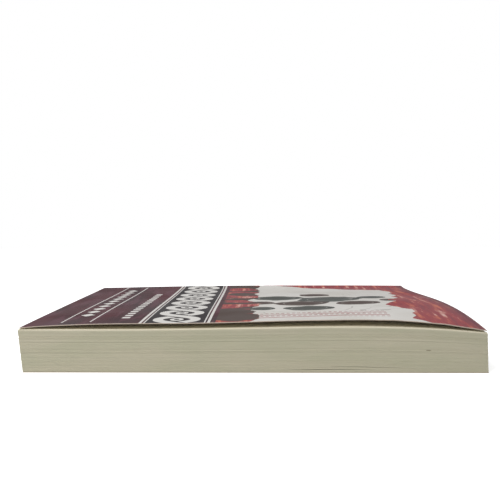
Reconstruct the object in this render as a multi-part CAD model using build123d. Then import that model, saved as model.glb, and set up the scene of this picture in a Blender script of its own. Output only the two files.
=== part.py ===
"""A perfect-bound paperback book that lies on its back cover, in millimetres.

The leaves are glued along the spine into one block. A single card cover wraps round it: the card is
glued to the spine and to a narrow strip on each side of it, and folds along a score beside each strip.
The book has been handled, so its front cover has taken a bow and stands away from the leaves at the
fore-edge, the leaves have swollen at the fore-edge, and the whole book leans towards its tail.

+X runs from the tail to the head, +Y from the fore-edge to the spine, and +Z from back to front.
The origin is in the middle of the book's footprint, on the surface that it lies on.
"""

from build123d import *
import os

# Driving dimensions
HEIGHT = 198.0  # of the leaves, tail to head
WIDTH = 129.0  # fore-edge to the outside of the spine
BLOCK_THICKNESS = 18.25  # of the leaves where the spine glue holds them
CARD = 0.3  # thickness of the cover card
STRIP_WIDTH = 8.0  # of the glued strip, from the outside of the spine to the score
SPINE_GLUE = 0.5  # between the leaves and the spine of the cover
SIDE_GLUE = 0.15  # between the outer leaves and the strips
SIDE_GLUE_INSET = 1.0  # the side glue stops this far short of the score
SPINE_CORNER = 0.25  # outer radius where the card folds round the spine
LEAN = 1.4  # the front of the book stands this far nearer the tail than its back
SCORE_GAP = 0.1  # between a strip and the cover panel that folds beside it
FOLD_RADIUS = 0.7  # a folding panel turns about a line this far outside the card
TAIL_SHY = 0.4  # at its fore-edge corner, the front cover stops this far short of the leaves' tail

# Shapes taken by the leaves and the front cover. Each row is a place along the book, from the tail at
# -1 to the head at 1, and a height there above the plane that the score lies in.
SPINE_SWELL = ((-1.0, -0.9), (-0.6, 0.05), (-0.1, 0.75), (0.6, 0.9), (1.0, 0.65))
BLOCK_SWELL = ((-1.0, 0.05), (-0.5, 0.0), (0.0, 0.7), (0.42, 1.25), (0.75, 0.45), (1.0, -1.3))
COVER_LIFT = (
    (-1.0, 0.3), (-0.9, 1.05), (-0.65, 1.95), (-0.2, 2.4), (0.2, 3.45), (0.55, 3.7), (0.78, 2.2), (1.0, -0.9),
)
COVER_BOW = ((-1.0, 0.1), (-0.3, 0.0), (0.4, 0.3), (1.0, 3.3))
BOW_CREST = 0.66  # where the bow is highest, as a share of the way from the score to the fore-edge

# Worked out from those
TOP_OF_BLOCK = CARD + SIDE_GLUE + BLOCK_THICKNESS
UNDER_FRONT_CARD = TOP_OF_BLOCK + SIDE_GLUE
SPINE = WIDTH / 2
FORE_EDGE = -WIDTH / 2
SCORE = SPINE - STRIP_WIDTH
SHEET_MARGIN = 4.0  # a surface reaches this far past the pieces that are cut from it
SHEET_ROWS = 25
SHEET_COLUMNS = 17
TALL = 3 * BLOCK_THICKNESS  # well above the book, for the solids that are cut down to its surfaces
REACH = HEIGHT / 2 + SHEET_MARGIN / 2  # past the head and the tail, for what is trimmed to them


def height_through(stations, place):
    """Height of a smooth curve through the stations at that place; straight beyond the last one."""
    places = [station[0] for station in stations]
    heights = [station[1] for station in stations]
    last = len(stations) - 1

    def slope(i):
        low, high = max(i - 1, 0), min(i + 1, last)
        return (heights[high] - heights[low]) / (places[high] - places[low])

    if place <= places[0]:
        return heights[0] + slope(0) * (place - places[0])
    if place >= places[last]:
        return heights[last] + slope(last) * (place - places[last])
    i = max(k for k in range(last) if places[k] <= place)
    span = places[i + 1] - places[i]
    t = (place - places[i]) / span
    from_left = heights[i] * (1 + 2 * t) * (1 - t) ** 2 + slope(i) * span * t * (1 - t) ** 2
    from_right = heights[i + 1] * t**2 * (3 - 2 * t) - slope(i + 1) * span * t**2 * (1 - t)
    return from_left + from_right


def towards_fore_edge(y):
    """0 at the score and 1 at the fore-edge."""
    return (SCORE - y) / (SCORE - FORE_EDGE)


def rise(share):
    """How much of the fore-edge's height a sheet has taken on; level at the score."""
    share = max(share, 0.0)
    return share**2 * (3 - 2 * share) if share < 1 else 1 + (share - 1) * 0.2


def bow(share):
    """A single wave from the score to the fore-edge, 1 at its crest; level at the score."""
    share = min(max(share, 0.0), 1.0)
    power = 2.0
    tail_power = power * (1 - BOW_CREST) / BOW_CREST
    crest = BOW_CREST**power * (1 - BOW_CREST) ** tail_power
    return share**power * (1 - share) ** tail_power / crest


def block_top(x, y):
    """Height of the first leaf, which rises from the score both to the fore-edge and to the spine."""
    place = 2 * x / HEIGHT
    towards_spine = max((y - SCORE) / STRIP_WIDTH, 0.0)
    swell = height_through(BLOCK_SWELL, place) * rise(towards_fore_edge(y))
    return TOP_OF_BLOCK + swell + height_through(SPINE_SWELL, place) * towards_spine**2


def cover_underside(x, y):
    place = 2 * x / HEIGHT
    share = towards_fore_edge(y)
    lift = height_through(COVER_LIFT, place) * rise(share)
    return UNDER_FRONT_CARD + lift + height_through(COVER_BOW, place) * bow(share)


def sheet(height, low_y, high_y):
    """A smooth surface over the whole length of the book, between two lines across it."""
    reach = HEIGHT / 2 + SHEET_MARGIN
    xs = [reach * (2 * i / (SHEET_ROWS - 1) - 1) for i in range(SHEET_ROWS)]
    ys = [low_y + (high_y - low_y) * j / (SHEET_COLUMNS - 1) for j in range(SHEET_COLUMNS)]
    rows = [[(x, y, height(x, y)) for y in ys] for x in xs]
    return Face.make_surface_from_array_of_points(rows, tol=0.001, max_deg=5)


def slab(low, high):
    """A plain block between two corners."""
    size = [b - a for a, b in zip(low, high)]
    return Pos(*low) * Box(*size, align=(Align.MIN, Align.MIN, Align.MIN))


def ends_outline():
    """The book seen from its fore-edge, far too tall, with its head and tail cut along its lean."""
    middle = (CARD + UNDER_FRONT_CARD) / 2
    over = LEAN * (TALL - middle) / UNDER_FRONT_CARD
    under = LEAN * (TALL + middle) / UNDER_FRONT_CARD
    low_tail, low_head = -HEIGHT / 2 + under, HEIGHT / 2 + under
    high_head, high_tail = HEIGHT / 2 - over, -HEIGHT / 2 - over
    corners = ((low_tail, -TALL), (low_head, -TALL), (high_head, TALL), (high_tail, TALL))
    return Plane.XZ * make_face(Polyline(*corners, close=True))


def trimmed(shape):
    """Cuts the head and tail as a guillotine would, along the book's lean."""
    return shape & extrude(Pos(0, WIDTH, 0) * ends_outline(), amount=2 * WIDTH)


def drawn_back(shape):
    """Cuts the tail again, on a slant that takes off nothing at the score and most at the fore-edge."""
    slant = TAIL_SHY / (SCORE - FORE_EDGE)
    return shape & extrude(Pos(0, SCORE, 0) * ends_outline(), amount=2 * WIDTH, dir=(slant, -1, 0))


def under(top_face):
    """Everything below a surface."""
    return extrude(top_face, amount=TALL, dir=(0, 0, -1))


def card_on(underside_face):
    """A card of the cover's thickness laid on a surface."""
    return extrude(underside_face, amount=CARD, dir=(0, 0, 1))


GLUED_SURFACE = sheet(block_top, SCORE, SPINE + SHEET_MARGIN)
LEAF_SURFACE = sheet(block_top, FORE_EDGE - SHEET_MARGIN, SCORE)


def page_block():
    """All the leaves, as one solid."""
    back = CARD + SIDE_GLUE
    spine_face = SPINE - CARD - SPINE_GLUE
    outer = slab((-REACH, FORE_EDGE, back), (REACH, SCORE, TALL)) & under(LEAF_SURFACE)
    inner = slab((-REACH, SCORE, back), (REACH, spine_face, TALL)) & under(GLUED_SURFACE)
    return trimmed(outer + inner)


def binding_glue():
    """Hot-melt glue: a layer on the spine, with a thin wing under each strip."""
    upper = Pos(0, 0, SIDE_GLUE) * GLUED_SURFACE
    inside = SPINE - CARD
    block_face = inside - SPINE_GLUE
    wing_end = SCORE + SIDE_GLUE_INSET
    whole = slab((-REACH, wing_end, CARD), (REACH, inside, TALL)) & under(upper)
    leaves = slab((-REACH, SCORE, CARD + SIDE_GLUE), (REACH, block_face, TALL)) & under(GLUED_SURFACE)
    return trimmed(whole - leaves)


def spine_cover():
    """The middle of the wrapped card: the spine, and the strip glued down on each side of it."""
    upper = Pos(0, 0, SIDE_GLUE) * GLUED_SURFACE
    outside = slab((-REACH, SCORE, 0), (REACH, SPINE, TALL)) & under(Pos(0, 0, CARD) * upper)
    inside = slab((-REACH, SCORE, CARD), (REACH, SPINE - CARD, TALL)) & under(upper)
    card = outside - inside
    corners = [e for e in card.edges() if abs(e.center().Y - SPINE) < 0.01 and e.length > HEIGHT]
    return trimmed(fillet(corners, SPINE_CORNER))


def front_cover():
    """The front panel, bowed away from the leaves. It hinges along the score."""
    face = sheet(cover_underside, FORE_EDGE - SHEET_MARGIN, SCORE + SHEET_MARGIN)
    panel = slab((-REACH, FORE_EDGE, 0), (REACH, SCORE - SCORE_GAP, TALL))
    return drawn_back(trimmed(card_on(face) & panel))


def back_cover():
    """The back panel, flat on the surface that the book lies on. It hinges along the other score."""
    return trimmed(slab((-REACH, FORE_EDGE, 0), (REACH, SCORE - SCORE_GAP, CARD)))


def main():
    os.makedirs("parts", exist_ok=True)
    pieces = (page_block, binding_glue, spine_cover, front_cover, back_cover)
    for piece in pieces:
        export_step(piece(), f"parts/{piece.__name__}.step")
    print("front hinge axis: y", SCORE, "z", UNDER_FRONT_CARD + CARD + FOLD_RADIUS)
    print("back hinge axis: y", SCORE, "z", -FOLD_RADIUS)


main()
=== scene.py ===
"""The looks of a worn paperback book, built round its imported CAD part, in metres.

The book lies on its back cover. +X runs from its tail to its head, +Y from its fore-edge to its spine,
and +Z from its back cover to its front cover. Its card is wrapped round the leaves in one sheet, and
is made here as three pieces that meet edge to edge: the front panel with its fold, the spine, and the
back panel with its fold.
"""

import math

import bmesh
import bpy
import numpy as np
from mathutils import Matrix, Vector


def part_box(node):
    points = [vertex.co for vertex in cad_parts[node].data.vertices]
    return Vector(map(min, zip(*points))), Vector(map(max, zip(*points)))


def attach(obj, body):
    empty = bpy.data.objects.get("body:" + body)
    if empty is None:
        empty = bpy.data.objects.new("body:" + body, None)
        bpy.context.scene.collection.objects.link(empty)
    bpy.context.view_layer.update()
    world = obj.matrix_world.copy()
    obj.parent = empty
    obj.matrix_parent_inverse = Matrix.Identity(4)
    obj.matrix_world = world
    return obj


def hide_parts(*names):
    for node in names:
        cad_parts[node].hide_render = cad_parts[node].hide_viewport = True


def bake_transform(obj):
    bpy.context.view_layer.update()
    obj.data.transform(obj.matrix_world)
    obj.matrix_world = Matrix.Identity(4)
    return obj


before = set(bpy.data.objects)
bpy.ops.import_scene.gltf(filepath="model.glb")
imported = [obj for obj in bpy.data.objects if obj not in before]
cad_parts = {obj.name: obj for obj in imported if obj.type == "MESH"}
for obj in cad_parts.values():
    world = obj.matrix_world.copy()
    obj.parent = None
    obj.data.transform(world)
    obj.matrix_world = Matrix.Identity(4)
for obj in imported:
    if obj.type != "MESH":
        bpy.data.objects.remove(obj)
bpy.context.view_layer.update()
MM = 0.001

# Sizes of the book, most of them from its CAD nodes
BLOCK_LOW, BLOCK_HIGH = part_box("page_block")
STRIP_LOW, STRIP_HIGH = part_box("spine_cover")
BACK_LOW, BACK_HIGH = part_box("back_cover")
FORE_EDGE = BACK_LOW.y
SPINE = STRIP_HIGH.y
SCORE = STRIP_LOW.y
WIDTH = SPINE - FORE_EDGE
CARD = BACK_HIGH.z
GLUE = 0.15 * MM  # between the outer leaves and the card
SCORE_HEIGHT = 19.15 * MM  # of the card's outside at the front score
MIDDLE = SCORE_HEIGHT / 2
LEAN = (BACK_LOW.x + BACK_HIGH.x) / 2 / MIDDLE  # how far the book leans for each unit of height
HALF = (BACK_HIGH.x - BACK_LOW.x) / 2
TAIL_SHY = 0.4 * MM  # at its fore-edge corner, the front cover stops this far short of the leaves' tail

# The card. Its rows run across the book and its columns along it.
SEAM = SCORE + 1.2 * MM  # where the front and back pieces meet the spine piece
FOLD_REACH = 1.0 * MM  # the card bends this far on each side of the score
FOLD_STEP = 0.1 * MM
GROOVE_DEPTH = 0.07 * MM
GROOVE_WIDTH = 0.45 * MM
SPINE_RADIUS = 0.45 * MM
RIPPLE = 0.04 * MM  # small waves in the card's fore-edge towards the head, where it has been handled
RIPPLE_TURNS = (560.0, 319.2)  # radians for each metre of the two waves in it
RIPPLE_EDGE = 8  # how steeply the waves fade away from the fore-edge
RIPPLE_FROM = 0.2  # they grow from this share of the way to the head, and are full at this one
RIPPLE_FULL = 0.8
COLUMNS = 84
END_CROWDING = 0.08  # how much closer together the columns are at the head and the tail
PANEL_ROWS = 56
STRIP_ROWS = 10
CORNER_ROWS = 5
SPINE_ROWS = 24
SHARP_ANGLE = math.radians(40)

# The leaves
LEAVES = 172
STACK = 18.25 * MM  # their thickness where they are glued
LEAF = STACK / LEAVES
LEAF_FILL = 0.9  # the share of a leaf's room that its paper fills
RIM_DEPTH = 1.3 * MM  # how far a leaf's modelled edge reaches into the block
CORE_INSET = 1.0 * MM  # the solid core behind those edges lies this far in
SIDE_POINTS = 15
FRONT_POINTS = 61

# How the wrapped card is unrolled for its print: one unit of its map is this many metres
MAP_UNIT = 0.3


def srgb(red, green, blue):
    """A colour written as it looks on screen, 0 to 255, turned into light values."""
    parts = [c / 255 for c in (red, green, blue)]
    return tuple(c / 12.92 if c <= 0.04045 else ((c + 0.055) / 1.055) ** 2.4 for c in parts) + (1.0,)


# ---------- nodes


def feed(socket, value):
    """Links a figure or another socket to a socket, or sets its value."""
    value = value.socket if isinstance(value, Figure) else value
    if isinstance(value, bpy.types.NodeSocket):
        socket.id_data.links.new(value, socket)
    else:
        socket.default_value = value


def add(tree, kind, inputs=None, **settings):
    """Adds a node, makes its settings and feeds its inputs. Gives its outputs."""
    node = tree.nodes.new(kind)
    for name, value in settings.items():
        setattr(node, name, value)
    for name, value in (inputs or {}).items():
        feed(node.inputs[name], value)
    return node.outputs


def worked(operation):
    """A method that works out an operation on a figure with a node."""

    def method(figure, *others):
        inputs = dict(enumerate((figure, *others)))
        return Figure(add(figure.tree, "ShaderNodeMath", inputs, operation=operation)[0])

    return method


class Figure:
    """A number that changes over a surface. Python's operators on it add the nodes that work it out."""

    __add__ = worked("ADD")
    __sub__ = worked("SUBTRACT")
    __mul__ = worked("MULTIPLY")
    __truediv__ = worked("DIVIDE")
    __abs__ = worked("ABSOLUTE")
    power = worked("POWER")
    sine = worked("SINE")
    cosine = worked("COSINE")
    least = worked("MINIMUM")
    most = worked("MAXIMUM")
    over = worked("GREATER_THAN")
    under = worked("LESS_THAN")
    repeated = worked("FLOORED_MODULO")
    times_plus = worked("MULTIPLY_ADD")

    def __init__(self, socket):
        self.socket = socket
        self.tree = socket.id_data

    def __rsub__(self, other):
        return self.times_plus(-1.0, other)

    def between(self, low, high):
        return self.over(low) * self.under(high)

    def ramped(self, low, high, to_low=0.0, to_high=1.0):
        """Smoothly from one value to another as this one goes from low to high."""
        inputs = {"Value": self, "From Min": low, "From Max": high, "To Min": to_low, "To Max": to_high}
        ramp = add(self.tree, "ShaderNodeMapRange", inputs, interpolation_type="SMOOTHSTEP")
        return Figure(ramp["Result"])


# ---------- the shapes of the leaves and the front card

# The same shapes as the CAD's, in millimetres. Each row is a place along the book, from the tail at -1
# to the head at 1, and a height there above the plane that the score lies in.
SPINE_SWELL = ((-1.0, -0.9), (-0.6, 0.05), (-0.1, 0.75), (0.6, 0.9), (1.0, 0.65))
BLOCK_SWELL = ((-1.0, 0.05), (-0.5, 0.0), (0.0, 0.7), (0.42, 1.25), (0.75, 0.45), (1.0, -1.3))
COVER_LIFT = (
    (-1.0, 0.3), (-0.9, 1.05), (-0.65, 1.95), (-0.2, 2.4),
    (0.2, 3.45), (0.55, 3.7), (0.78, 2.2), (1.0, -0.9),
)
COVER_BOW = ((-1.0, 0.1), (-0.3, 0.0), (0.4, 0.3), (1.0, 3.3))
BOW_CREST = 0.66  # where the bow is highest, as a share of the way from the score to the fore-edge


def height_through(stations, place):
    """Heights of a smooth curve through the stations, in metres; straight beyond the last one."""
    places, heights = np.array(stations).T
    ends = np.arange(len(places))
    before, after = np.maximum(ends - 1, 0), np.minimum(ends + 1, len(places) - 1)
    slopes = (heights[after] - heights[before]) / (places[after] - places[before])
    i = np.clip(np.searchsorted(places, place) - 1, 0, len(places) - 2)
    span = places[i + 1] - places[i]
    t = np.clip((place - places[i]) / span, 0, 1)
    from_left = heights[i] * (1 + 2 * t) * (1 - t) ** 2 + slopes[i] * span * t * (1 - t) ** 2
    from_right = heights[i + 1] * t**2 * (3 - 2 * t) - slopes[i + 1] * span * t**2 * (1 - t)
    beyond = place - np.clip(place, places[0], places[-1])
    return (from_left + from_right + beyond * np.where(place < 0, slopes[0], slopes[-1])) * MM


def towards_fore_edge(y):
    """0 at the score and 1 at the fore-edge."""
    return np.clip((SCORE - y) / (SCORE - FORE_EDGE), 0, 1)


def towards_spine(y):
    """0 at the score and 1 at the spine."""
    return np.clip((y - SCORE) / (SPINE - SCORE), 0, 1)


def rise(share):
    """How much of the fore-edge's height a sheet has taken on; level at the score."""
    return share**2 * (3 - 2 * share)


def bow(share):
    """A single wave from the score to the fore-edge, 1 at its crest; level at the score."""
    tail_power = 2 * (1 - BOW_CREST) / BOW_CREST
    return share**2 * (1 - share) ** tail_power / (BOW_CREST**2 * (1 - BOW_CREST) ** tail_power)


def groove(y):
    """How deep the pressed score is."""
    return GROOVE_DEPTH * np.exp(-(((y - SCORE) / GROOVE_WIDTH) ** 2))


def card_height(x, y):
    """Height of the front card's outside."""
    place = x / HALF
    share = towards_fore_edge(y)
    lifted = height_through(COVER_LIFT, place) * rise(share)
    bowed = height_through(COVER_BOW, place) * bow(share)
    swollen = height_through(SPINE_SWELL, place) * towards_spine(y) ** 2
    handled = share**RIPPLE_EDGE * np.clip((place - RIPPLE_FROM) / (RIPPLE_FULL - RIPPLE_FROM), 0, 1)
    ripple = RIPPLE * handled * (np.sin(x * RIPPLE_TURNS[0]) + np.sin(x * RIPPLE_TURNS[1] + 1))
    return SCORE_HEIGHT + lifted + bowed + swollen - groove(y) + ripple


def block_height(x, y):
    """Height of the first leaf."""
    place = x / HALF
    risen = height_through(BLOCK_SWELL, place) * rise(towards_fore_edge(y))
    swollen = height_through(SPINE_SWELL, place) * towards_spine(y) ** 2
    return SCORE_HEIGHT - CARD - GLUE + risen + swollen


def leaning(x, z):
    """Where a point of the upright book goes when the book leans."""
    return x - LEAN * (z - MIDDLE)


# ---------- building meshes


def placed(name, data):
    """A new object in the scene."""
    new = bpy.data.objects.new(name, data)
    bpy.context.scene.collection.objects.link(new)
    return new


def give_map(mesh, places):
    """Gives a mesh its map, from the place of each of its points."""
    layer = mesh.uv_layers.new(name="wrap")
    corner_points = np.zeros(len(mesh.loops), np.int32)
    mesh.loops.foreach_get("vertex_index", corner_points)
    layer.data.foreach_set("uv", places[corner_points].astype(np.float32).ravel())


def solid_mesh(name, points, faces, materials, face_materials, places):
    """A closed mesh with its faces outward, shaded smooth except across its sharp edges."""
    mesh = bpy.data.meshes.new(name)
    mesh.from_pydata(points.tolist(), [], faces)
    give_map(mesh, places)
    for material in materials:
        mesh.materials.append(material)
    mesh.polygons.foreach_set("material_index", np.array(face_materials, np.int32))
    work = bmesh.new()
    work.from_mesh(mesh)
    bmesh.ops.recalc_face_normals(work, faces=work.faces)
    work.to_mesh(mesh)
    work.free()
    mesh.shade_smooth()
    mesh.set_sharp_from_angle(angle=SHARP_ANGLE)
    return placed(name, mesh)


def closed_sheet(name, outside, inside, wrap, materials):
    """A sheet with two faces and a cut edge all round, from matching grids of outside and inside points
    and of their places on its map. The materials are those of the outside, the inside and the edge."""
    outside, inside, wrap = np.array(outside), np.array(inside), np.array(wrap)
    rows, columns = outside.shape[:2]
    order = np.arange(rows * columns).reshape(rows, columns)
    under = order + rows * columns
    faces, kinds = [], []

    def strip(a, b, kind):
        for i in range(len(a) - 1):
            faces.append((int(a[i]), int(a[i + 1]), int(b[i + 1]), int(b[i])))
            kinds.append(kind)

    for r in range(rows - 1):
        strip(order[r], order[r + 1], 0)
        strip(under[r + 1], under[r], 1)
    strip(order[-1], under[-1], 2)
    strip(under[0], order[0], 2)
    strip(under[:, -1], order[:, -1], 2)
    strip(order[:, 0], under[:, 0], 2)
    points = np.concatenate([outside.reshape(-1, 3), inside.reshape(-1, 3)])
    places = np.tile(wrap.reshape(-1, 2), (2, 1))
    return solid_mesh(name, points, faces, materials, kinds, places)


# ---------- the wrapped card


def upright_columns(tail_shy=0.0):
    """Places along the upright book, closer together near the head and the tail."""
    share = np.linspace(0, 1, COLUMNS)
    share = share - END_CROWDING * np.sin(2 * np.pi * share) / (2 * np.pi)
    return -HALF + tail_shy + share * (2 * HALF - tail_shy)


def wrap_map(along, around):
    """Where a point of the upright card lies once the card is unrolled."""
    return np.stack([(along + HALF) / MAP_UNIT, around / MAP_UNIT], axis=-1)


def sheet_rows(seam):
    """Places across a panel from its seam to its fore-edge, closest together at its fold."""
    fold = np.arange(seam, SCORE - FOLD_REACH - FOLD_STEP, -FOLD_STEP)
    return np.concatenate([fold[:-1], np.linspace(fold[-1], FORE_EDGE, PANEL_ROWS)])


# The unrolled card runs from the fore-edge at the back, over the spine, to the fore-edge at the front.
# These are the two edges of its spine.
AROUND_BACK_EDGE = WIDTH
AROUND_FRONT_EDGE = WIDTH + SCORE_HEIGHT


def front_cover():
    """The front panel with its fold, bowed as the card has taken it."""
    rows = sheet_rows(SEAM)
    outside, inside, wrap = [], [], []
    for y in rows:
        across = np.full(COLUMNS, y)
        x0 = upright_columns(TAIL_SHY * float(towards_fore_edge(y)))
        x = leaning(x0, card_height(leaning(x0, SCORE_HEIGHT), across))
        z = card_height(x, across)
        outside.append(np.stack([x, across, z], axis=-1))
        inside.append(np.stack([x, across, z - CARD], axis=-1))
        wrap.append(wrap_map(x0, AROUND_FRONT_EDGE + SPINE - across))
    piece = closed_sheet("front_cover_card", outside, inside, wrap, CARD_FACES)
    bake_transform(piece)
    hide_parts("front_cover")


def back_cover():
    """The back panel with its fold, flat under the leaves."""
    rows = sheet_rows(SEAM)
    x0 = upright_columns()
    outside, inside, wrap = [], [], []
    for y in rows:
        across = np.full(COLUMNS, y)
        outside.append(np.stack([leaning(x0, 0), across, groove(across)], axis=-1))
        inside.append(np.stack([leaning(x0, CARD), across, groove(across) + CARD], axis=-1))
        wrap.append(wrap_map(x0, across - FORE_EDGE))
    piece = closed_sheet("back_cover_card", outside, inside, wrap, BACK_CARD_FACES)
    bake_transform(piece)
    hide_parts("back_cover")


def spine_profile():
    """The spine piece seen from its head, from the front seam round to the back seam. Each row is a
    point's height, as a share of the way from the bottom fold's centre to the top fold's, its place
    across the book, the angle that the card faces, and its place on the unrolled card."""
    fold = SPINE - SPINE_RADIUS
    points = []
    for y in np.linspace(SEAM, fold, STRIP_ROWS, endpoint=False):
        points.append((1.0, y, 90.0, AROUND_FRONT_EDGE + SPINE - y))
    for angle in np.linspace(90, 0, CORNER_ROWS, endpoint=False):
        points.append((1.0, fold, angle, AROUND_FRONT_EDGE + SPINE_RADIUS * angle / 90))
    for share in np.linspace(0, 1, SPINE_ROWS, endpoint=False):
        points.append((1 - share, fold, 0.0, AROUND_FRONT_EDGE - share * SCORE_HEIGHT))
    for angle in np.linspace(0, -90, CORNER_ROWS, endpoint=False):
        points.append((0.0, fold, angle, AROUND_BACK_EDGE + SPINE_RADIUS * angle / 90))
    for y in np.linspace(fold, SEAM, STRIP_ROWS):
        points.append((0.0, y, -90.0, y - FORE_EDGE))
    return points


def spine_cover():
    """The spine and the strip on each side of it, folded round the glued backs of the leaves."""
    x0 = upright_columns()
    outside, inside, wrap = [], [], []
    for share, y, angle, around in spine_profile():
        turn = math.radians(angle)
        top = card_height(leaning(x0, SCORE_HEIGHT), np.full(COLUMNS, y)) - SPINE_RADIUS
        centre = SPINE_RADIUS + share * (top - SPINE_RADIUS)
        for radius, side in ((SPINE_RADIUS, outside), (SPINE_RADIUS - CARD, inside)):
            across = np.full(COLUMNS, y + radius * math.cos(turn))
            z = centre + radius * math.sin(turn)
            side.append(np.stack([leaning(x0, z), across, z], axis=-1))
        wrap.append(wrap_map(x0, np.full(COLUMNS, around)))
    piece = closed_sheet("spine_cover_card", outside, inside, wrap, CARD_FACES)
    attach(piece, "book_block")
    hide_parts("spine_cover")


# ---------- the leaves

# How far the leaves lie out of line: each by itself, and together as they wander up the stack
UNEVENNESS = 0.035 * MM
DRIFT = 0.28 * MM
DRIFT_PACE = 0.11  # of the wandering, for each leaf
LEAF_SEED = 7

# Leaves that were pushed out of line: where they are in the stack, how many, and how far out
ODD_LEAVES = (
    (0.815, 1, -0.07 * MM), (0.640, 1, -0.04 * MM), (0.483, 3, 0.08 * MM),
    (0.469, 1, -0.03 * MM), (0.245, 1, -0.04 * MM),
)

# Where the leaves have sprung apart near the bottom of the fore-edge. Each row is a place in the stack,
# the middle and half-length along the book, how far the leaves below it fan out, and the air above them.
LOW_WEDGE = 7 / LEAVES
HIGH_WEDGE = 14 / LEAVES
WEDGES = (
    (LOW_WEDGE, 30 * MM, 24 * MM, 0.1 * MM, 0.26 * MM),
    (HIGH_WEDGE, 46 * MM, 24 * MM, 0.4 * MM, 0.15 * MM),
)
WEDGE_CURVE = 1.5  # how roundly a wedge tapers to its two ends
WEDGE_DEPTH = 30 * MM  # how far in from the fore-edge a wedge has closed
WEDGE_SPREAD = 0.35  # the share of the stack over which the leaves above take up the gape

# The leaves were not cut quite square. At the head the first leaf stands out this much further than
# the last, from the middle of the stack. At the tail it does too, from a little below the stack.
HEAD_SPLAY = 0.5 * MM
TAIL_SPLAY = 0.25 * MM
HEAD_SPLAY_FROM = 0.5
TAIL_SPLAY_FROM = -0.2

# The first few leaves are worn back, so the block's top edge is a little round. Their edges are painted
# lighter too, a painted highlight along that top edge.
WORN_LEAVES = 6
WORN_BACK = 0.45 * MM
WORN_AT_ENDS = 0.2  # the share of that wear at the head and the tail
WORN_CURVE = 1.5  # how steeply the wear grows from leaf to leaf


def leaf_rim():
    """The outer band of one leaf, along its tail, fore-edge and head: a thin closed bar."""
    side = np.linspace(BLOCK_HIGH.y, FORE_EDGE, SIDE_POINTS)
    front = np.linspace(-HALF, HALF, FRONT_POINTS)
    path = [(-HALF, y, 1.0, 0.0) for y in side[:-1]]
    path.append((-HALF, FORE_EDGE, 1.0, 1.0))
    path += [(x, FORE_EDGE, 0.0, 1.0) for x in front[1:-1]]
    path.append((HALF, FORE_EDGE, -1.0, 1.0))
    path += [(HALF, y, -1.0, 0.0) for y in side[-2::-1]]
    half_leaf = LEAF * LEAF_FILL / 2
    section = ((0.0, -half_leaf), (0.0, half_leaf), (RIM_DEPTH, half_leaf), (RIM_DEPTH, -half_leaf))
    points, faces = [], []
    for x, y, in_x, in_y in path:
        points += [(x + inset * in_x, y + inset * in_y, z) for inset, z in section]
    for i in range(len(path) - 1):
        for k in range(4):
            a, b = 4 * i + k, 4 * i + (k + 1) % 4
            faces.append((a, b, b + 4, a + 4))
    faces.append((0, 1, 2, 3))
    faces.append(tuple(len(points) - k for k in (1, 2, 3, 4)))
    mesh = bpy.data.meshes.new("leaf_rim")
    mesh.from_pydata(points, [], faces)
    mesh.materials.append(LEAF_EDGE)
    return mesh


def offset_node(tree, operation, first, second):
    """Works out an operation on an offset with another offset, or with a number to scale it by."""
    other = "Scale" if operation == "SCALE" else 1
    return add(tree, "ShaderNodeVectorMath", {0: first, other: second}, operation=operation)[0]


def level_drift(tree):
    """A level offset that wanders slowly up through the leaves."""
    leaf = add(tree, "GeometryNodeInputIndex")[0]
    slow = add(tree, "ShaderNodeMath", {0: leaf, 1: DRIFT_PACE}, operation="MULTIPLY")[0]
    inputs = {"W": slow, "Scale": 1.0, "Detail": 3.0}
    wander = add(tree, "ShaderNodeTexNoise", inputs, noise_dimensions="1D")["Color"]
    centred = offset_node(tree, "SUBTRACT", wander, (0.5, 0.5, 0.5))
    return offset_node(tree, "MULTIPLY", centred, (1, 1, 0))


def leaf_stack_tree():
    """Stacks a leaf many times, each a little out of line, and gives each a tone of its own. Also gives
    the identifier of each input."""
    tree = bpy.data.node_groups.new("leaf_stack", "GeometryNodeTree")
    kinds = {
        "Leaf": "Geometry", "Leaves": "Int", "Leaf Room": "Float", "Unevenness": "Float",
        "Drift": "Float", "Seed": "Int", "Material": "Material",
    }
    sockets = {}
    for name, kind in kinds.items():
        socket = tree.interface.new_socket(name, in_out="INPUT", socket_type="NodeSocket" + kind)
        sockets[name] = socket.identifier
    tree.interface.new_socket("Leaves", in_out="OUTPUT", socket_type="NodeSocketGeometry")
    given = add(tree, "NodeGroupInput")

    # a point in the middle of each leaf's room, from the second leaf up
    room = add(tree, "ShaderNodeCombineXYZ", {"Z": given["Leaf Room"]})[0]
    start = offset_node(tree, "SCALE", room, 1.5)
    inputs = {"Count": given["Leaves"], "Start Location": start, "Offset": room}
    line = add(tree, "GeometryNodeMeshLine", inputs)[0]

    # each point moves a little out of line, by itself and with its neighbours
    inputs = {"Min": (-1, -1, 0), "Max": (1, 1, 0), "Seed": given["Seed"]}
    jitter = add(tree, "FunctionNodeRandomValue", inputs, data_type="FLOAT_VECTOR")["Value"]
    jitter = offset_node(tree, "SCALE", jitter, given["Unevenness"])
    drift = offset_node(tree, "SCALE", level_drift(tree), given["Drift"])
    inputs = {"Geometry": line, "Offset": offset_node(tree, "ADD", jitter, drift)}
    moved = add(tree, "GeometryNodeSetPosition", inputs)[0]

    # each leaf keeps a tone of its own, which its material reads
    tone = add(tree, "FunctionNodeRandomValue", {"Seed": given["Seed"]})[1]
    inputs = {"Geometry": moved, "Name": "leaf_tone", "Value": tone}
    kept = add(tree, "GeometryNodeStoreNamedAttribute", inputs)[0]

    inputs = {"Points": kept, "Instance": given["Leaf"]}
    stacked = add(tree, "GeometryNodeInstanceOnPoints", inputs)[0]
    real = add(tree, "GeometryNodeRealizeInstances", {0: stacked})[0]
    inputs = {"Geometry": real, "Material": given["Material"]}
    finished = add(tree, "GeometryNodeSetMaterial", inputs)[0]
    add(tree, "NodeGroupOutput", {0: finished})
    return tree, sockets


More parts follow.
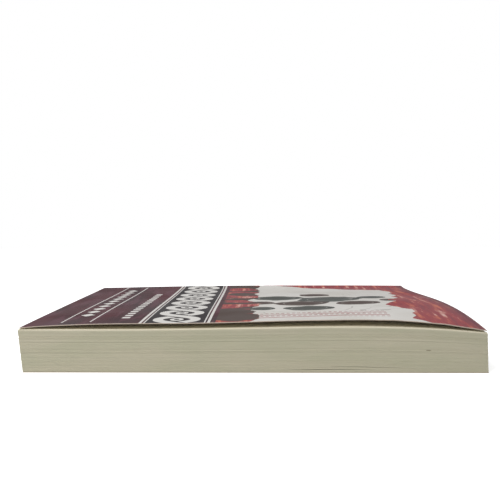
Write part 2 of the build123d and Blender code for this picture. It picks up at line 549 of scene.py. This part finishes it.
def stacked_rims():
    """The bands of all the leaves but the first and the last, as one plain mesh of the upright block."""
    tree, sockets = leaf_stack_tree()
    maker = placed("leaf_rims", leaf_rim())
    modifier = maker.modifiers.new("stack", "NODES")
    modifier.node_group = tree
    values = {
        "Leaves": LEAVES - 2, "Leaf Room": LEAF, "Unevenness": UNEVENNESS, "Drift": DRIFT,
        "Seed": LEAF_SEED, "Material": LEAF_EDGE,
    }
    for name, value in values.items():
        modifier[sockets[name]] = value
    bpy.context.view_layer.update()
    evaluated = maker.evaluated_get(bpy.context.evaluated_depsgraph_get())
    mesh = bpy.data.meshes.new_from_object(evaluated)
    bpy.data.objects.remove(maker)
    return mesh


def push_out(points):
    """Moves the odd leaves of the upright block in or out of line, and rounds its top edge. Gives how
    worn the leaf of each point is, from 0 to 1."""
    place = points[:, 2] / STACK
    for middle, count, out in ODD_LEAVES:
        odd = np.abs(place - middle) < count / 2 / LEAVES
        points[odd, 0] *= 1 + out / HALF
        points[odd, 1] -= out
    leaf = np.floor(place * LEAVES)
    worn = np.clip((leaf + 1 - LEAVES + WORN_LEAVES) / WORN_LEAVES, 0, 1)
    back = WORN_BACK * worn**WORN_CURVE
    points[:, 0] *= 1 - WORN_AT_ENDS * back / HALF
    points[:, 1] += back
    return worn


def settled(points):
    """Bows and leans the upright block. Each leaf keeps its share of the height, but for the wedges."""
    x0, y, z0 = points.T
    share = z0 / STACK
    x0 = x0 + HEAD_SPLAY * np.clip(x0 / HALF, 0, 1) * (share - HEAD_SPLAY_FROM)
    x0 = x0 - TAIL_SPLAY * np.clip(-x0 / HALF, 0, 1) * (share - TAIL_SPLAY_FROM)
    bottom = BLOCK_LOW.z
    x = leaning(x0, bottom + z0)
    z = bottom + share * (block_height(x, np.minimum(y, BLOCK_HIGH.y)) - bottom)
    for level, middle, reach, fan, gape in WEDGES:
        along = np.clip(1 - ((x0 - middle) / reach) ** 2, 0, 1) ** WEDGE_CURVE
        inward = np.exp(-(((y - FORE_EDGE) / WEDGE_DEPTH) ** 2))
        taken_up = np.clip(1 - (share - level) / WEDGE_SPREAD, 0, 1)
        z = z + along * inward * np.where(share < level, fan * share / level, (fan + gape) * taken_up)
    return np.stack([leaning(x0, z), y, z], axis=-1)


def upright_slab(low, high, inset, columns, rows):
    """Grids for the top and the bottom of a slab of the upright block."""
    xs = np.linspace(-HALF + inset, HALF - inset, columns)
    ys = np.linspace(FORE_EDGE + inset, BLOCK_HIGH.y, rows)
    x, y = np.meshgrid(xs, ys)
    top = np.stack([x, y, np.full(x.shape, high)], axis=-1)
    bottom = np.stack([x, y, np.full(x.shape, low)], axis=-1)
    return top, bottom


def finished_rims():
    """The rims pushed out of line and settled into the book's shape, with their map and their tones."""
    rims = stacked_rims()
    points = np.zeros(len(rims.vertices) * 3)
    rims.vertices.foreach_get("co", points)
    points = points.reshape(-1, 3)
    worn = push_out(points)
    rims.vertices.foreach_set("co", settled(points).ravel())

    # a tone below 0 marks a worn leaf, whose edge gets a painted highlight
    kept = rims.attributes["leaf_tone"].data
    tones = np.zeros(len(points))
    kept.foreach_get("value", tones)
    kept.foreach_set("value", np.where(worn > 0, -worn, tones))

    # the map runs round the block from tail to head, and up it
    at_end = np.abs(points[:, 0]) > HALF - RIM_DEPTH
    around = points[:, 0] + np.sign(points[:, 0]) * np.where(at_end, points[:, 1] - FORE_EDGE, 0)
    give_map(rims, np.stack([around, points[:, 2]], axis=-1))
    return rims


def page_block():
    """The leaves: their edges one by one, round a solid core, with a whole leaf at the top and bottom."""
    block = placed("page_block_leaves", finished_rims())
    low_top = STACK * LOW_WEDGE
    high_top = STACK * HIGH_WEDGE
    # the name of each slab, its bottom and top, how far in it lies, and its columns and rows
    slabs = (
        ("first_leaf", STACK - LEAF, STACK, WORN_BACK, 90, 60),
        ("last_leaf", 0.0, LEAF, 0.0, 90, 12),
        ("low_core", LEAF * 1.5, low_top - LEAF / 2, CORE_INSET, 90, 40),
        ("middle_core", low_top, high_top - LEAF / 2, CORE_INSET, 90, 40),
        ("core", high_top, STACK - LEAF * 1.5, CORE_INSET, 90, 60),
    )
    joined = [block]
    for name, low, high, inset, columns, rows in slabs:
        top, bottom = upright_slab(low, high, inset, columns, rows)
        wrap = top[..., :2].copy()
        top, bottom = (settled(grid.reshape(-1, 3)).reshape(grid.shape) for grid in (top, bottom))
        joined.append(closed_sheet(name, top, bottom, wrap, (PAGE, PAGE, LEAF_EDGE)))
    with bpy.context.temp_override(active_object=block, selected_editable_objects=joined):
        bpy.ops.object.join()
    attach(block, "book_block")
    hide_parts("page_block")


# ---------- material helpers


def noise(tree, place, detail, roughness=0.5):
    """Soft random values, about one blob for each unit of the place."""
    inputs = {"Vector": place, "Scale": 1.0, "Detail": detail, "Roughness": roughness}
    return Figure(add(tree, "ShaderNodeTexNoise", inputs)[0])


def patches(first, second, rate, seed=0.0, detail=2.0, roughness=0.5):
    """Soft random values over a surface, with so many blobs for each unit of its two figures."""
    inputs = {"X": first * rate[0], "Y": second * rate[1], "Z": seed}
    place = add(first.tree, "ShaderNodeCombineXYZ", inputs)[0]
    return noise(first.tree, place, detail, roughness)


def mixed(share, first, second):
    """The first colour where the share is 0 and the second where it is 1."""
    inputs = {0: share, 6: first, 7: second}  # the node's colours are its sockets 6 and 7
    return add(share.tree, "ShaderNodeMix", inputs, data_type="RGBA")[2]


def wrap_place(tree, scale):
    """The two figures of a piece's own map, with so many units for each unit of the map."""
    uv = add(tree, "ShaderNodeUVMap", uv_map="wrap")
    split = add(tree, "ShaderNodeSeparateXYZ", {0: uv[0]})
    return Figure(split[0]) * scale, Figure(split[1]) * scale


def effect(name, outputs, inputs):
    """A new shader node group, with its inputs and its outputs. Its inputs are numbers."""
    tree = bpy.data.node_groups.new(name, "ShaderNodeTree")
    for label, value in inputs.items():
        socket = tree.interface.new_socket(label, in_out="INPUT", socket_type="NodeSocketFloat")
        socket.default_value = value
    for label, kind in outputs.items():
        tree.interface.new_socket(label, in_out="OUTPUT", socket_type="NodeSocket" + kind)
    return tree, add(tree, "NodeGroupInput"), tree.nodes.new("NodeGroupOutput").inputs


def put(tree, group, **values):
    """Places a shared effect in a material. Gives its outputs."""
    inputs = {name.replace("_", " "): value for name, value in values.items()}
    return add(tree, "ShaderNodeGroup", inputs, node_tree=group)


def finish_material(name, roughness, specular):
    """A new material, its nodes, and the inputs of its Principled BSDF."""
    material = bpy.data.materials.new(name)
    material.use_nodes = True
    shader = material.node_tree.nodes["Principled BSDF"].inputs
    feed(shader["Roughness"], roughness)
    feed(shader["Specular IOR Level"], specular)
    return material, material.node_tree, shader


def bumped(shader, height, distance):
    """Feeds a height, in metres once multiplied by the distance, to the normal."""
    tree = shader["Normal"].id_data
    bump = add(tree, "ShaderNodeBump", {"Height": height, "Distance": distance})
    feed(shader["Normal"], bump[0])


# ---------- the cover's print

# Sizes of the unrolled card in millimetres. A place on it is given along, from the tail, and around,
# from the back's fore-edge. On the front it is given along, and across from the fold at the spine.
TO_MM = 1 / MM
MAP_MM = MAP_UNIT / MM
LENGTH_MM = 2 * HALF / MM
WIDTH_MM = WIDTH / MM
THICK_MM = SCORE_HEIGHT / MM
AROUND_MM = 2 * WIDTH_MM + THICK_MM
STRIP_MM = (SPINE - SCORE) / MM

# The front's ornament. Pairs are where a rule or a row begins and ends.
PANEL = (5.0, WIDTH_MM - 5.0)
DIAMOND_ROW = 23.0
DIAMOND_ENDS = (17.2, 111.8)
DIAMONDS = (8.6, 3.3)  # how far apart they are, and how far each reaches from its middle
DIAMOND_RULES = (6.0, 6.7)  # from the middle of the row
BAR_ROW = 43.0
BAR_ENDS = (36.4, 119.6)
BAR_PITCH = 5.2
BAR_WIDTH = 3.0
BAR_HALF_HEIGHT = 1.8
BRAID_ROW = 66.5
BRAID_HALF_HEIGHT = 8.2
BRAID_PERIOD = 32.25
RIBBON_HALF = 2.2
RIBBON_GAP = 1.1
DISC = (1.2, 3.0)
BRAID_EDGE = 12.6  # of its dark ground, from the middle of the row
BRAID_RULES = ((12.6, 13.2), (14.0, 15.2))

# The front's picture, which reaches from here to the head
PICTURE = 84.0
# Its stones: the middle of each, along and across, and how far it reaches along and across
SLATE_STONES = ((113, 57, 14, 9), (141, 65, 17, 11), (165, 60, 8, 6), (127, 98, 12, 7), (104, 96, 7, 5))
UMBER_STONES = ((125, 80, 14, 8), (153, 84, 11, 7), (135, 44, 9, 6), (172, 74, 6, 5), (103, 76, 8, 6))
# Rings in and round each stone, where a distance of 1 is its edge
STONE_RING = (0.66, 0.72)
WATER_RINGS = (1.3, 3.2)
WATER_RING_PITCH = 0.6
WATER_RING_WIDTH = 0.07
# Where the red banks would begin, but for their brushed edges
HEAD_BANK = 164.0
TAIL_BANK = 88.0
SPINE_BANK = 2.0
SPINE_BANK_SLOPE = 0.3  # it is this much wider for each millimetre towards the head
SPINE_BANK_PIVOT = 150.0  # from here
DARK_HEAD = (LENGTH_MM - 8.0, LENGTH_MM - 1.0)
# Ruled and dotted lines beside the fore-edge
LINES_ACROSS = (110.0, 122.0)
LINES_ALONG = (PICTURE, 160.0)
LINE_PITCH = 6.0
LINE_WIDTH = 0.9
DOTTED_LINE = (2.6, 3.6)
DOT_PITCH = 2.4
DOT_LENGTH = 1.4

# The ornament of the spine, whose rules are given from the middle of its length, and of the back
SPINE_DIAMONDS = (9.0, 3.4)
SPINE_DIAMOND_ENDS = (63.0, 135.0)
SPINE_RULES = ((72.0, 73.0), (75.0, 77.5))
BACK_RULES = ((10.0, 10.8), (12.4, 12.9))
BACK_DIAMOND_ENDS = (34.4, 94.6)

MAROON = srgb(80, 40, 46)
DEEP_MAROON = srgb(56, 38, 42)
PLUM = srgb(92, 56, 66)
INK = srgb(44, 38, 40)
PALE = srgb(207, 204, 199)
MIST = srgb(198, 194, 187)
SLATE = srgb(66, 69, 64)
UMBER = srgb(74, 60, 54)
CRIMSON = srgb(146, 62, 66)
ORANGE = srgb(186, 104, 82)
BLUSH = srgb(205, 170, 162)


def either(distance, bands):
    """1 where a distance is inside one of two bands."""
    first, second = bands
    return distance.between(*first).most(distance.between(*second))


def from_sides(along, across, length, width):
    """How far a place in a rectangle is from its nearest side."""
    return along.least(length - along).least(across.least(width - across))


def diamonds(along, across, row, pitch, size):
    """A row of small diamonds."""
    sideways = abs(across.repeated(pitch) - pitch / 2)
    return (sideways + abs(along - row)).under(size)


def braid(along, across):
    """Two ribbons woven round a row of discs, between rules, and the dark ground behind them."""
    pace = 2 * math.pi / BRAID_PERIOD
    phase = across * pace
    wave = phase.sine() * BRAID_HALF_HEIGHT
    slope = phase.cosine() * (BRAID_HALF_HEIGHT * pace)
    longer = (slope.power(2.0) + 1.0).power(0.5)
    offset = along - BRAID_ROW
    first = abs(offset - wave) / longer
    second = abs(offset + wave) / longer
    first_over = phase.cosine().over(0.0)
    upper = first * first_over + second * (1.0 - first_over)
    lower = second * first_over + first * (1.0 - first_over)
    beside_upper = lower.under(RIBBON_HALF) * upper.over(RIBBON_HALF + RIBBON_GAP)
    ribbons = upper.under(RIBBON_HALF).most(beside_upper)
    in_bay = across.repeated(BRAID_PERIOD / 2) - BRAID_PERIOD / 4
    discs = (in_bay.power(2.0) + offset.power(2.0)).power(0.5).between(*DISC)
    edge = abs(offset)
    return ribbons.most(discs).most(either(edge, BRAID_RULES)), edge.under(BRAID_EDGE)


def ornament(along, across, ground):
    """The tail part of the front: diamonds between rules, a row of bars, and the braid."""
    braid_mask, braid_ground = braid(along, across)
    row_rules = abs(along - DIAMOND_ROW).between(*DIAMOND_RULES) * across.between(*PANEL)
    small = diamonds(along, across, DIAMOND_ROW, *DIAMONDS) * across.between(*DIAMOND_ENDS)
    in_bar_row = abs(along - BAR_ROW).under(BAR_HALF_HEIGHT) * across.between(*BAR_ENDS)
    bars = in_bar_row * across.repeated(BAR_PITCH).under(BAR_WIDTH)
    pale = braid_mask.most(small).most(bars).most(row_rules)
    return mixed(pale, mixed(braid_ground, ground, INK), PALE)


def from_stones(along, across, stones):
    """How far a place is from the nearest stone's middle: 1 at its edge."""
    nearest = None
    for middle_along, middle_across, reach_along, reach_across in stones:
        sideways = ((along - middle_along) / reach_along).power(2.0)
        upwards = ((across - middle_across) / reach_across).power(2.0)
        distance = (sideways + upwards).power(0.5)
        nearest = distance if nearest is None else nearest.least(distance)
    return nearest


def stone_bed(along, across):
    """A bed of dark stones in pale water, with rings round them."""
    haze = patches(along, across, rate=(0.03, 0.05), seed=2.0, detail=4.0)
    colour = mixed(haze.ramped(0.35, 0.68), MIST, PALE)
    blobs = patches(along, across, rate=(0.12, 0.12), seed=5.0, detail=1.0)
    wobble = blobs.ramped(0.3, 0.7, 0.92, 1.08)
    slate_stones = from_stones(along, across, SLATE_STONES) * wobble
    umber_stones = from_stones(along, across, UMBER_STONES) * wobble
    nearest = slate_stones.least(umber_stones)
    rings = nearest.repeated(WATER_RING_PITCH).under(WATER_RING_WIDTH) * nearest.between(*WATER_RINGS)
    colour = mixed(rings * 0.3, colour, UMBER)
    stone_colour = mixed(umber_stones.under(slate_stones), SLATE, UMBER)
    stone_colour = mixed(nearest.between(*STONE_RING) * 0.3, stone_colour, MIST)
    return mixed(nearest.under(1.0), colour, stone_colour)


def red_banks(along, across):
    """Red brushed on along the head, the spine side and the tail side: where it is, and its colour."""
    brush = patches(along, across, rate=(0.035, 0.06), seed=7.0, detail=3.0, roughness=0.4)
    streaks = patches(along, across, rate=(0.32, 0.045), seed=3.0, detail=3.0, roughness=0.7)
    earth = patches(along, across, rate=(0.03, 0.09), seed=11.0)
    head_wave = (across * 0.045 + 0.4).sine() * 7.0
    at_head = along - head_wave - brush * 24.0 - HEAD_BANK
    spine_slope = (along - SPINE_BANK_PIVOT) * SPINE_BANK_SLOPE
    at_spine = brush * 20.0 - across + spine_slope + SPINE_BANK
    at_tail = brush * 26.0 - along + TAIL_BANK
    colour = mixed(streaks.ramped(0.5, 0.66), CRIMSON, ORANGE)
    colour = mixed(brush.ramped(0.52, 0.62) * streaks.ramped(0.5, 0.7), colour, BLUSH)
    colour = mixed(streaks.ramped(0.5, 0.32) * 0.5, colour, PLUM)
    colour = mixed(at_tail.over(0.0) * earth.ramped(0.44, 0.5), colour, UMBER)
    colour = mixed(along.ramped(*DARK_HEAD, 0.0, 0.75), colour, PLUM)
    return at_head.most(at_spine).most(at_tail).over(0.0), colour


def picture(along, across):
    """The head part of the front: stones in water, red banks, and lines beside the fore-edge."""
    red_place, red = red_banks(along, across)
    colour = mixed(red_place, stone_bed(along, across), red)
    in_pitch = (across + (along * 0.05).sine() * 1.2).repeated(LINE_PITCH)
    dotted = in_pitch.between(*DOTTED_LINE) * along.repeated(DOT_PITCH).under(DOT_LENGTH)
    lines = in_pitch.under(LINE_WIDTH).most(dotted)
    place = across.between(*LINES_ACROSS) * along.between(*LINES_ALONG) * (1.0 - red_place)
    return mixed(lines * place, colour, CRIMSON)


def cover_print():
    """The cover's print. The spine and the back are plain ground with small ornaments."""
    tree, _, result = effect("cover_print", {"Color": "Color"}, {})
    along, around = wrap_place(tree, MAP_MM)
    cloudy = patches(along, around, rate=(0.05, 0.02), detail=3.0)
    blocks = patches(along, around, rate=(0.22, 0.035), seed=4.0, detail=1.0)
    ground = mixed(cloudy.ramped(0.35, 0.7), MAROON, DEEP_MAROON)
    ground = mixed(blocks.ramped(0.52, 0.6) * 0.55, ground, PLUM)

    across = around - (WIDTH_MM + THICK_MM)
    front_colour = ornament(along, across, ground)
    front_colour = mixed(along.over(PICTURE), front_colour, picture(along, across))

    spine_middle = WIDTH_MM + THICK_MM / 2
    spine_row = diamonds(around, along, spine_middle, *SPINE_DIAMONDS)
    spine_row = spine_row * along.between(*SPINE_DIAMOND_ENDS)
    spine_rules = either(abs(along - LENGTH_MM / 2), SPINE_RULES)
    spine_colour = mixed(spine_row.most(spine_rules), ground, PALE)

    back_rules = either(from_sides(along, around, LENGTH_MM, WIDTH_MM), BACK_RULES)
    back_across = WIDTH_MM - around
    back_row = diamonds(along, back_across, LENGTH_MM / 2, *DIAMONDS)
    back_row = back_row * back_across.between(*BACK_DIAMOND_ENDS)
    back_colour = mixed(back_rules.most(back_row), ground, PALE)

    on_front = across.over(0.0)
    on_back = around.under(WIDTH_MM)
    colour = mixed(on_back, front_colour, back_colour)
    colour = mixed(1.0 - on_front.most(on_back), colour, spine_colour)
    feed(result["Color"], colour)
    return tree


# ---------- wear, fibres and ageing

# The folds and the scores are spared some of the wear that the cut edges get, in millimetres
FOLD_SPARED = 0.12
SCORE_SPARED = 0.5
WEAR_STRENGTH = 4.0
AGEING_RATE = 60.0  # clouds for each unit of a map
SPOTS_RATE = 6.0  # spots for each cloud


def card_wear():
    """Where the card's print has rubbed off, and where its film is scuffed."""
    tree, given, result = effect("card_wear", {"Mask": "Float", "Scuff": "Float"}, {"Reach": 0.5})
    along, around = wrap_place(tree, MAP_MM)
    rough = patches(along, around, rate=(0.7, 0.7), detail=4.0, roughness=0.65)
    patchy = patches(along, around, rate=(0.06, 0.06), seed=5.0)
    folds = abs(abs(around - AROUND_MM / 2) - THICK_MM / 2)
    scores = abs(abs(around - AROUND_MM / 2) - (THICK_MM / 2 + STRIP_MM))
    nearest = from_sides(along, around, LENGTH_MM, AROUND_MM)
    nearest = nearest.least(folds + FOLD_SPARED).least(scores + SCORE_SPARED)
    worn = rough * patchy * WEAR_STRENGTH * Figure(given["Reach"]) - nearest
    feed(result["Mask"], worn.ramped(-0.03, 0.12))
    slanted = along * 0.9 + around * 0.5
    scratches = patches(slanted, around, rate=(1.0, 0.03), seed=9.0, roughness=0.8)
    smears = patches(along, around, rate=(0.03, 0.04), seed=6.0, detail=3.0)
    feed(result["Scuff"], scratches.ramped(0.66, 0.72) * 0.35 + smears.ramped(0.4, 0.75))
    return tree


def paper_fibre():
    """Fine mottling and lint of paper or card, as a tone about 0.5 and a height."""
    tree, given, result = effect("paper_fibre", {"Tone": "Float", "Height": "Float"}, {"Scale": 1.0})
    u, v = wrap_place(tree, Figure(given["Scale"]))
    fine = patches(u, v, rate=(2.0, 2.0), detail=4.0, roughness=0.7)
    fibres = patches(u, v, rate=(0.5, 3.0), seed=3.0, detail=3.0, roughness=0.6)
    feed(result["Tone"], fine * 0.5 + fibres * 0.5)
    feed(result["Height"], fine * 0.7 + fibres * 0.3)
    return tree


def ageing():
    """Where paper has yellowed: in from its edges, and in a few scattered spots."""
    outputs = {"Edges": "Float", "Spots": "Float"}
    tree, given, result = effect("ageing", outputs, {"From Edge": 0.0, "Spread": 12.0})
    across, up = wrap_place(tree, AGEING_RATE)
    cloudy = patches(across, up, rate=(1.0, 1.0), detail=3.0)
    spots = patches(across, up, rate=(SPOTS_RATE, SPOTS_RATE), seed=4.0, roughness=0.4)
    share = Figure(given["From Edge"]) / Figure(given["Spread"])
    feed(result["Edges"], (share + cloudy * 0.6).ramped(0.25, 1.3, 1.0, 0.0))
    feed(result["Spots"], spots.ramped(0.68, 0.76) * cloudy.ramped(0.45, 0.6))
    return tree


PRINT_EFFECT = cover_print()
WEAR_EFFECT = card_wear()
FIBRE_EFFECT = paper_fibre()
AGEING_EFFECT = ageing()


# ---------- the materials

DULL_PRINT = srgb(120, 112, 110)
RUBBED_CARD = srgb(196, 184, 178)
AGED_CARD = srgb(196, 180, 148)
CARD_SPOT = srgb(176, 146, 104)

LEAF_WARM = srgb(190, 184, 163)
LEAF_COOL = srgb(183, 180, 157)
LEAF_LINE = srgb(172, 167, 143)
LEAF_DARK_LINE = srgb(140, 134, 108)
LEAF_DULL = srgb(150, 144, 120)
LEAF_SPECK = srgb(120, 110, 88)
# painted highlight for the worn top leaves' edges
TOP_EDGE_HIGHLIGHT = srgb(228, 221, 202)
NICK_SHADE = srgb(104, 96, 74)

PAGE_COLOURS = (srgb(218, 212, 190), srgb(226, 220, 200), srgb(206, 192, 156), srgb(186, 154, 108))
CREASE_SHADE = srgb(180, 168, 140)

GLUE_DARK = srgb(196, 184, 148)
GLUE_LIGHT = srgb(216, 208, 180)
LUMPS = 900  # of the glue, in each metre

PAPER_BUMP = 0.012 * MM

# A small nick in the fore-edge, drawn only as a patch of painted shade, in millimetres: its middle along
# and up, and its reach along and up
NICK = (74.1, 9.1, 1.1, 0.22)

# Where the first leaf bends when the cover opens, drawn only as a band of painted shade, in millimetres,
# and how far the band reaches
CREASE_SHADE_ROW = (SCORE - 5 * MM) / MM
CREASE_SHADE_REACH = 2.5


def aged_sheet(tree, fibres, spread, from_edge, colours, spot_share):
    """Paper or card with fibres, yellowed towards its edges and spotted."""
    dark, light, yellowed, spotted = colours
    aged = put(tree, AGEING_EFFECT, Spread=spread, From_Edge=from_edge)
    sheet = mixed(Figure(fibres["Tone"]).ramped(0.3, 0.7), dark, light)
    sheet = mixed(Figure(aged["Edges"]) * 0.3, sheet, yellowed)
    return mixed(Figure(aged["Spots"]) * spot_share, sheet, spotted)


def printed_card():
    """Printed card under a thin plastic film, rubbed white along its edges."""
    material, tree, shader = finish_material("printed_card", 0.5, 0.14)
    art = put(tree, PRINT_EFFECT)
    wear = put(tree, WEAR_EFFECT, Reach=0.45)
    fibre = put(tree, FIBRE_EFFECT, Scale=300.0)
    mask = Figure(wear["Mask"])
    scuff = Figure(wear["Scuff"])
    mottled = Figure(fibre["Tone"]).ramped(0.3, 0.7, 0.0, 0.07)
    colour = mixed(mottled, art["Color"], DULL_PRINT)
    colour = mixed(mask * 0.75, colour, RUBBED_CARD)
    feed(shader["Base Color"], colour)
    feed(shader["Roughness"], scuff * 0.16 + mask * 0.3 + 0.45)
    bumped(shader, Figure(fibre["Height"]) * 0.25 - mask * 0.8, 0.02 * MM)
    return material


def bare_card(name, light, dark):
    """The card's unprinted white side, or its cut edge."""
    material, tree, shader = finish_material(name, 0.8, 0.3)
    fibres = put(tree, FIBRE_EFFECT, Scale=500.0)
    from_edge = from_sides(*wrap_place(tree, MAP_MM), LENGTH_MM, AROUND_MM)
    colours = (dark, light, AGED_CARD, CARD_SPOT)
    feed(shader["Base Color"], aged_sheet(tree, fibres, 14.0, from_edge, colours, 0.3))
    bumped(shader, fibres["Height"], PAPER_BUMP)
    return material


def leaf_edge():
    """The cut edges of the leaves: yellowed paper, with a tone for each leaf, faint lines and dust, a
    painted highlight on the worn top leaves and painted shade in a small nick.
    """
    material, tree, shader = finish_material("leaf_edge", 0.85, 0.2)
    own = Figure(add(tree, "ShaderNodeAttribute", attribute_name="leaf_tone")["Fac"])
    along, up = wrap_place(tree, TO_MM)
    lines = patches(along, up, rate=(0.02, 4.0), detail=4.0, roughness=0.7)
    short_lines = patches(along, up, rate=(0.07, 7.0), seed=8.0, roughness=0.6)
    cloudy = patches(along, up, rate=(0.03, 0.12), seed=5.0, detail=3.0)
    specks = patches(along, up, rate=(0.9, 3.0), seed=2.0, detail=1.0)
    colour = mixed(cloudy.ramped(0.3, 0.7), LEAF_WARM, LEAF_COOL)
    colour = mixed(lines.ramped(0.35, 0.7) * 0.3, colour, LEAF_LINE)
    colour = mixed(short_lines.ramped(0.6, 0.75) * 0.18, colour, LEAF_DARK_LINE)
    colour = mixed(own * 0.1, colour, LEAF_DULL)
    colour = mixed(specks.ramped(0.74, 0.8) * 0.5, colour, LEAF_SPECK)
    # a tone below 0 is a worn leaf's, painted lighter as a highlight along the block's top edge
    colour = mixed(own * -1.3, colour, TOP_EDGE_HIGHLIGHT)
    nick_along, nick_up, reach_along, reach_up = NICK
    nick_shade = ((along - nick_along) / reach_along).power(2.0) + ((up - nick_up) / reach_up).power(2.0)
    # painted shade in the nick, which has no shape of its own
    colour = mixed(nick_shade.under(1.0) * 0.6, colour, NICK_SHADE)
    feed(shader["Base Color"], colour)
    bumped(shader, lines * 0.6 + short_lines * 0.4, 0.06 * MM)
    return material


def page():
    """The blank face of a leaf: uncoated paper, yellowed towards its edges and spotted with age, with a
    band of painted shade where it bends near the hinge.
    """
    material, tree, shader = finish_material("page", 0.9, 0.2)
    place = add(tree, "ShaderNodeTexCoord")["Object"]
    split = add(tree, "ShaderNodeSeparateXYZ", {0: place})
    x = Figure(split[0]) * TO_MM
    y = Figure(split[1]) * TO_MM
    from_edge = (HALF / MM - abs(x)).least(y - FORE_EDGE / MM)
    fibres = put(tree, FIBRE_EFFECT, Scale=1500.0)
    sheet = aged_sheet(tree, fibres, 16.0, from_edge, PAGE_COLOURS, 0.35)
    # painted shade along the line where the leaf bends
    crease_shade = abs(y - CREASE_SHADE_ROW).ramped(0.0, CREASE_SHADE_REACH, 1.0, 0.0)
    feed(shader["Base Color"], mixed(crease_shade * 0.2, sheet, CREASE_SHADE))
    bumped(shader, fibres["Height"], PAPER_BUMP)
    return material


def dried_glue():
    """Hot-melt glue: cream, slightly waxy, with small lumps."""
    material, tree, shader = finish_material("dried_glue", 0.5, 0.4)
    place = add(tree, "ShaderNodeTexCoord")["Object"]
    spread = add(tree, "ShaderNodeMapping", {0: place, "Scale": (LUMPS, LUMPS, LUMPS)})
    lumps = noise(tree, spread[0], 3.0)
    feed(shader["Base Color"], mixed(lumps.ramped(0.35, 0.65), GLUE_DARK, GLUE_LIGHT))
    feed(shader["Roughness"], lumps.ramped(0.3, 0.7, 0.4, 0.6))
    bumped(shader, lumps, 0.05 * MM)
    return material


LEAF_EDGE = leaf_edge()
PAGE = page()
PRINTED_CARD = printed_card()
CARD_INSIDE = bare_card("card_inside", srgb(222, 218, 206), srgb(208, 202, 188))
CUT_EDGE = bare_card("card_cut_edge", srgb(176, 162, 154), srgb(142, 126, 118))
CARD_FACES = (PRINTED_CARD, CARD_INSIDE, CUT_EDGE)
# The back's cut edges are painted lighter than the front's: painted light that offsets the shade at the
# foot of the book
LIGHTENED_CUT_EDGE = bare_card("lightened_cut_edge", srgb(204, 194, 186), srgb(180, 170, 162))
BACK_CARD_FACES = (PRINTED_CARD, CARD_INSIDE, LIGHTENED_CUT_EDGE)


# ---------- floor, light and camera

FLOOR_RADIUS = 0.9
FLOOR_SIDES = 96
FLOOR_DROP = 0.02 * MM  # so that the floor and the back cover don't share a surface
FLOOR_GLOW = 0.6  # as the camera sees it

ROOM_STRENGTH = 0.49
ROOM_COLOUR = (0.97, 0.98, 1.0, 1)
KEY_SIZE = 0.45
KEY_PLACE = (-0.5, -0.44, 0.84)
KEY_POWER = 9.1

LENS = 36.94
SENSOR = 36.0
CAMERA_PLACE = (1.909 * MM, -278.36 * MM, 66.57 * MM)
# in radians
CAMERA_TURN = 0.0139
CAMERA_DIP = 0.0665
CAMERA_ROLL = -0.0028


def floor():
    """A plain pale floor that takes the book's shadow."""
    mesh = bpy.data.meshes.new("floor")
    turns = np.linspace(0, 2 * math.pi, FLOOR_SIDES, endpoint=False)
    rim = [(FLOOR_RADIUS * math.cos(turn), FLOOR_RADIUS * math.sin(turn), 0) for turn in turns]
    mesh.from_pydata(rim, [], [tuple(range(FLOOR_SIDES))])
    ground = placed("floor", mesh)
    ground.location.z = -FLOOR_DROP
    material, tree, shader = finish_material("pale_floor", 0.9, 0.0)
    seen = Figure(add(tree, "ShaderNodeLightPath")["Is Camera Ray"])
    feed(shader["Base Color"], (0.86, 0.86, 0.86, 1))
    feed(shader["Emission Color"], (1, 1, 1, 1))
    feed(shader["Emission Strength"], seen * FLOOR_GLOW)
    mesh.materials.append(material)


def key_lamp():
    """A square area lamp, above and in front, that points at the book."""
    lamp = bpy.data.lights.new("key", "AREA")
    lamp.size = KEY_SIZE
    lamp.energy = KEY_POWER
    holder = placed("key", lamp)
    holder.location = KEY_PLACE
    holder.rotation_mode = "QUATERNION"
    holder.rotation_quaternion = (-Vector(KEY_PLACE)).to_track_quat("-Z", "Y")


def room():
    """The light all round. The camera sees white; the book sees a dimmer, even room."""
    world = bpy.data.worlds.new("studio")
    bpy.context.scene.world = world
    world.use_nodes = True
    tree = world.node_tree
    tree.nodes.clear()
    seen = add(tree, "ShaderNodeLightPath")["Is Camera Ray"]
    dim = add(tree, "ShaderNodeBackground", {"Color": ROOM_COLOUR, "Strength": ROOM_STRENGTH})[0]
    white = add(tree, "ShaderNodeBackground", {"Color": (1, 1, 1, 1)})[0]
    choice = add(tree, "ShaderNodeMixShader", {0: seen, 1: dim, 2: white})[0]
    add(tree, "ShaderNodeOutputWorld", {0: choice})


def camera():
    """The camera, low in front of the fore-edge."""
    lens = bpy.data.cameras.new("camera")
    lens.lens = LENS
    lens.sensor_width = SENSOR
    lens.clip_start = 0.01
    viewer = placed("camera", lens)
    turn = Matrix.Rotation(CAMERA_TURN, 4, "Z") @ Matrix.Rotation(math.pi / 2 - CAMERA_DIP, 4, "X")
    roll = Matrix.Rotation(CAMERA_ROLL, 4, "Z")
    viewer.matrix_world = Matrix.Translation(CAMERA_PLACE) @ turn @ roll
    bpy.context.scene.camera = viewer


def main():
    front_cover()
    back_cover()
    spine_cover()
    page_block()
    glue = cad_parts["binding_glue"]
    glue.data.materials.clear()
    glue.data.materials.append(dried_glue())
    floor()
    room()
    key_lamp()
    camera()
    bpy.context.scene.view_settings.view_transform = "Standard"


main()
